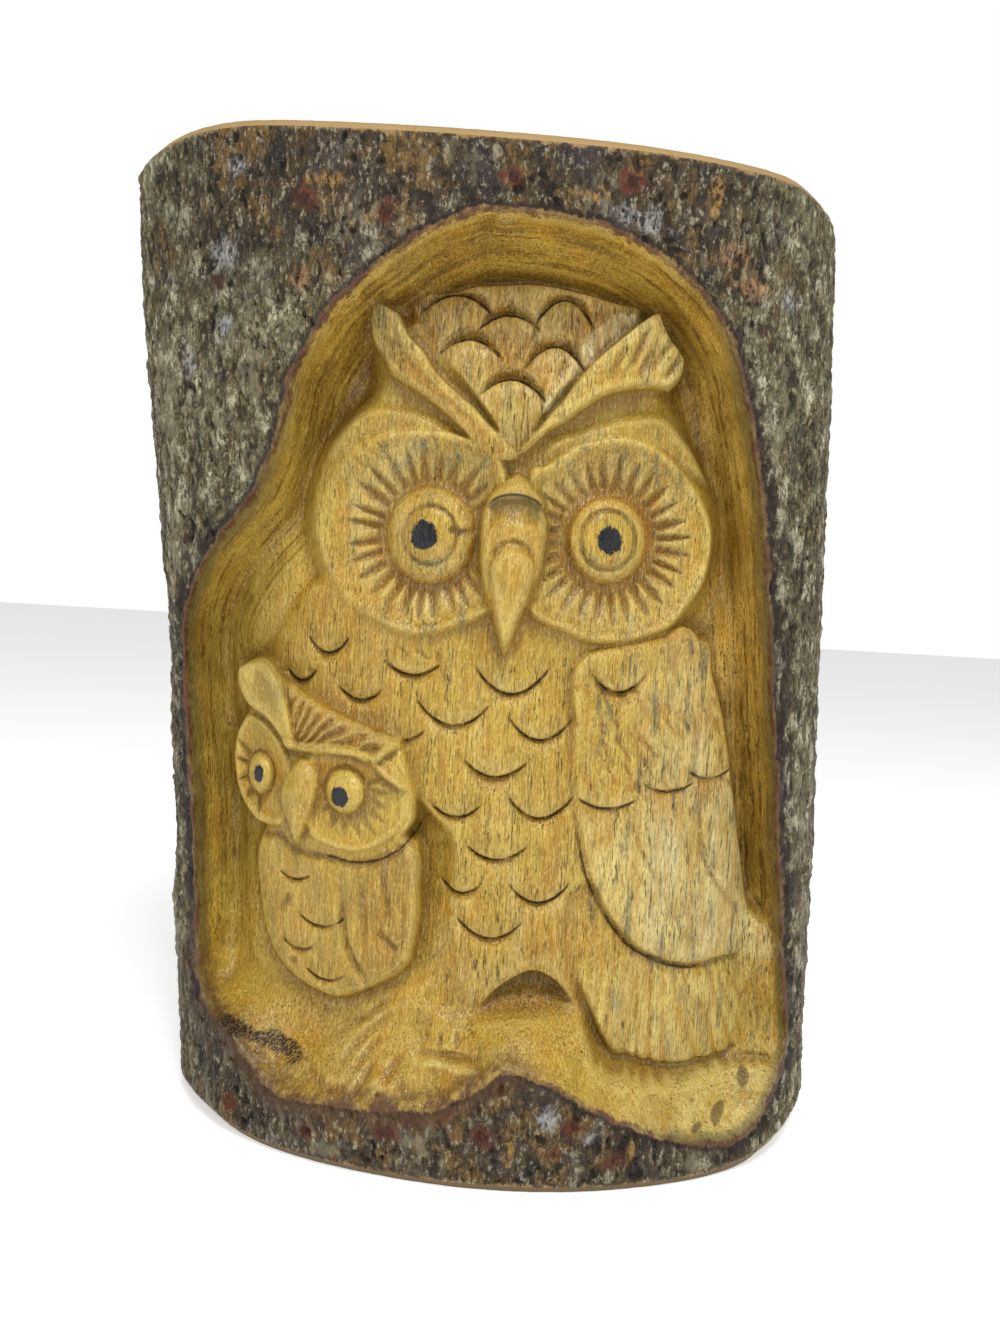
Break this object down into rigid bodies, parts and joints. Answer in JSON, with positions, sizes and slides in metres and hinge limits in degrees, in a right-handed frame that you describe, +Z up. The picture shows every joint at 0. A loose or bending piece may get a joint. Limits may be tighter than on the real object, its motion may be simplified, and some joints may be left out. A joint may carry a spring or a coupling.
{
  "type": "carved wooden owl",
  "caption": "Short upright log with its bark on, its front hollowed out and carved in relief with a large owl and an owlet beside it.",
  "frame": {"origin": "middle of the bounding box, on the underside", "axes": "+Z up along the log, -Y towards the carved front, +X to the viewer's right"},
  "size_m": [0.1612, 0.1555, 0.2032],
  "materials": {
    "carved_wood": "clear varnish on carved pale wood, dry rough bark outside"
  },
  "bodies": {
    "root": {"owl_carving": "carved_wood"}
  },
  "joints": []
}
